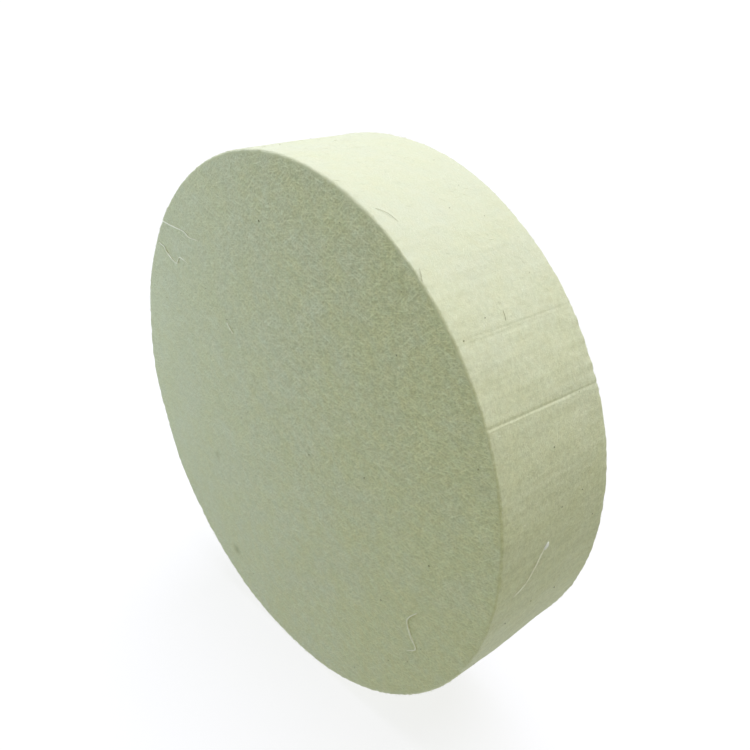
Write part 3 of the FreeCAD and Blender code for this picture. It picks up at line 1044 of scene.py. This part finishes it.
def make_stage():
    """A pale floor under the wheel, a white backdrop all round, and a tent that only gloss mirrors."""
    bpy.ops.mesh.primitive_plane_add(size=FLOOR_SIZE, location=(0, MIDDLE_Y, -WHEEL_RADIUS - 0.1 * MM))
    floor = bpy.context.object
    floor.name = "floor"
    n = Nodes("floor")
    n.set(Base_Color=colour(0.19, 0.19, 0.19), Roughness=1.0, Specular_IOR_Level=0.0)
    n.set(Emission_Color=colour(1, 1, 1), Emission_Strength=0.79)
    floor.data.materials.append(n.material)

    bpy.ops.mesh.primitive_uv_sphere_add(radius=BACKDROP_RADIUS, location=(0, MIDDLE_Y, 0))
    backdrop = bpy.context.object
    backdrop.name = "backdrop"
    n = Nodes("backdrop")
    n.set(Base_Color=colour(0, 0, 0), Emission_Color=colour(1, 1, 1), Emission_Strength=1.0)
    backdrop.data.materials.append(n.material)
    for obj in (floor, backdrop):
        only_seen(obj)

    bpy.ops.mesh.primitive_uv_sphere_add(radius=TENT_RADIUS, location=(0, MIDDLE_Y, 0))
    tent = bpy.context.object
    tent.name = "light_tent"
    n = Nodes("light_tent")
    point = n.add("TexCoord").outputs["Object"]
    glow = TENT_GLOW
    for direction, low, high, strength in TENT_PANELS:
        ahead = Vector(direction).normalized() / TENT_RADIUS
        facing = n.add("VectorMath", {0: point, 1: ahead}, operation="DOT_PRODUCT").outputs["Value"]
        glow = n.plus(glow, n.ramp(facing, low, high, 0.0, strength))
    n.set(Base_Color=colour(0, 0, 0), Emission_Color=colour(1, 1, 1), Emission_Strength=glow)
    tent.data.materials.append(n.material)
    only_seen(tent)
    tent.visible_camera = False
    tent.visible_glossy = True


# Where each sun stands, its strength, its softness in degrees and its tint
SUNS = {
    "key": (Vector((-0.05, 0.30, 0.95)), 3.25, 60, (1.013, 1.007, 1.255)),
    "below": (Vector((0.0, 0.0, -1.0)), 1.33, 30, (0.97, 1.0, 1.32)),
    "front": (Vector((0.75, -0.62, 0.2)), 0.3, 40, (1.05, 1.0, 0.82)),
}
FILL_PLACE = Vector((-0.17, -0.11, 0.045))  # from the wheel's centre
FILL_SIZE = 0.12
FILL_POWER = 0.130
FILL_TINT = (0.83, 1.0, 1.34)
AROUND_STRENGTH = 0.328
AROUND_TINT = (0.955, 1.0, 0.74)


def add_light(name, kind, direction, energy, tint, place=(0, 0, 0)):
    """A lamp that shines against this direction."""
    data = bpy.data.lights.new(name, kind)
    data.energy = energy
    data.color = tint
    lamp = bpy.data.objects.new(name, data)
    lamp.location = place
    lamp.rotation_euler = direction.to_track_quat("Z", "Y").to_euler()
    bpy.context.scene.collection.objects.link(lamp)
    return data


def make_lights():
    """A broad key light from above and behind, three more lamps, and a soft even light all round."""
    for name, (direction, strength, softness, tint) in SUNS.items():
        sun = add_light(name, "SUN", direction, strength, tint)
        sun.angle = math.radians(softness)
    fill = add_light("fill", "AREA", FILL_PLACE, FILL_POWER, FILL_TINT, WHEEL_CENTRE + FILL_PLACE)
    fill.size = FILL_SIZE

    world = bpy.data.worlds.new("studio")
    world.use_nodes = True
    background = world.node_tree.nodes["Background"]
    background.inputs["Color"].default_value = colour(*AROUND_TINT)
    background.inputs["Strength"].default_value = AROUND_STRENGTH
    bpy.context.scene.world = world
    bpy.context.scene.view_settings.view_transform = "Standard"


# The camera stands this many wheel radii from the wheel's centre
CAMERA_PLACE = Vector((2.096, -1.699, 1.463))
CAMERA_HEADING = 48.2
CAMERA_PITCH = -25.8
CAMERA_VIEW_ANGLE = 49.7


def make_camera():
    data = bpy.data.cameras.new("camera")
    data.sensor_width = 36
    data.angle = math.radians(CAMERA_VIEW_ANGLE)
    data.clip_start = 0.01
    camera = bpy.data.objects.new("camera", data)
    camera.location = WHEEL_CENTRE + CAMERA_PLACE * WHEEL_RADIUS
    camera.rotation_euler = (math.radians(90 + CAMERA_PITCH), 0, math.radians(CAMERA_HEADING))
    bpy.context.scene.collection.objects.link(camera)
    bpy.context.scene.camera = camera


# ----------------------------------------------------------------------
# The scene
# ----------------------------------------------------------------------

wool = felt_material()
pale_fibre = fibre_material("pale_wool_fibre", (0.82, 0.835, 0.655), 0.05)
hair = fibre_material("loose_hair", (0.97, 0.975, 0.81), 0.02)
dark_fibre = fibre_material("dark_wool_fibre", (0.46, 0.42, 0.22), 0.2)
lint = fibre_material("lint", (0.90, 0.92, 0.83), 0.02)
chaff = fibre_material("plant_speck", (0.36, 0.36, 0.2), 0.3)
turned = aluminium_material("turned_aluminium", (0.80, 0.80, 0.81), 1.0)
sheet = aluminium_material("aluminium_sheet", (0.72, 0.72, 0.73), 0.2)
headed = aluminium_material("rivet_aluminium", (0.76, 0.76, 0.77), 0.1)

make_felt(wool)
face_fibres("face_fibres", FACE_FIBRE_COUNT, FACE_Y, 0.0, -1, RANDOM_SEED + 11, pale_fibre)
bare_radius = PLATE_RADIUS + 1.2 * MM
face_fibres("back_fibres", BACK_FIBRE_COUNT, FELT_BACK_Y, bare_radius, 1, RANDOM_SEED + 12, pale_fibre)
rim_fibres("rim_fibres", RIM_FIBRE_COUNT, RANDOM_SEED + 13, pale_fibre)
edge_fuzz("front_edge_fuzz", EDGE_FIBRE_COUNT, FACE_Y, -1, RANDOM_SEED + 14, pale_fibre)
edge_fuzz("back_edge_fuzz", EDGE_FIBRE_COUNT, FELT_BACK_Y, 1, RANDOM_SEED + 15, pale_fibre)
make_hairs(hair, dark_fibre)
make_specks(chaff)
make_tuft(lint)

make_hub(turned)
make_plate(phenolic_material())
make_adhesive(adhesive_material())
for rivet_number in range(RIVET_COUNT):
    make_rivet(rivet_number, headed)
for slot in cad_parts["clamp_ring"].material_slots:
    slot.material = sheet

make_stage()
make_lights()
make_camera()
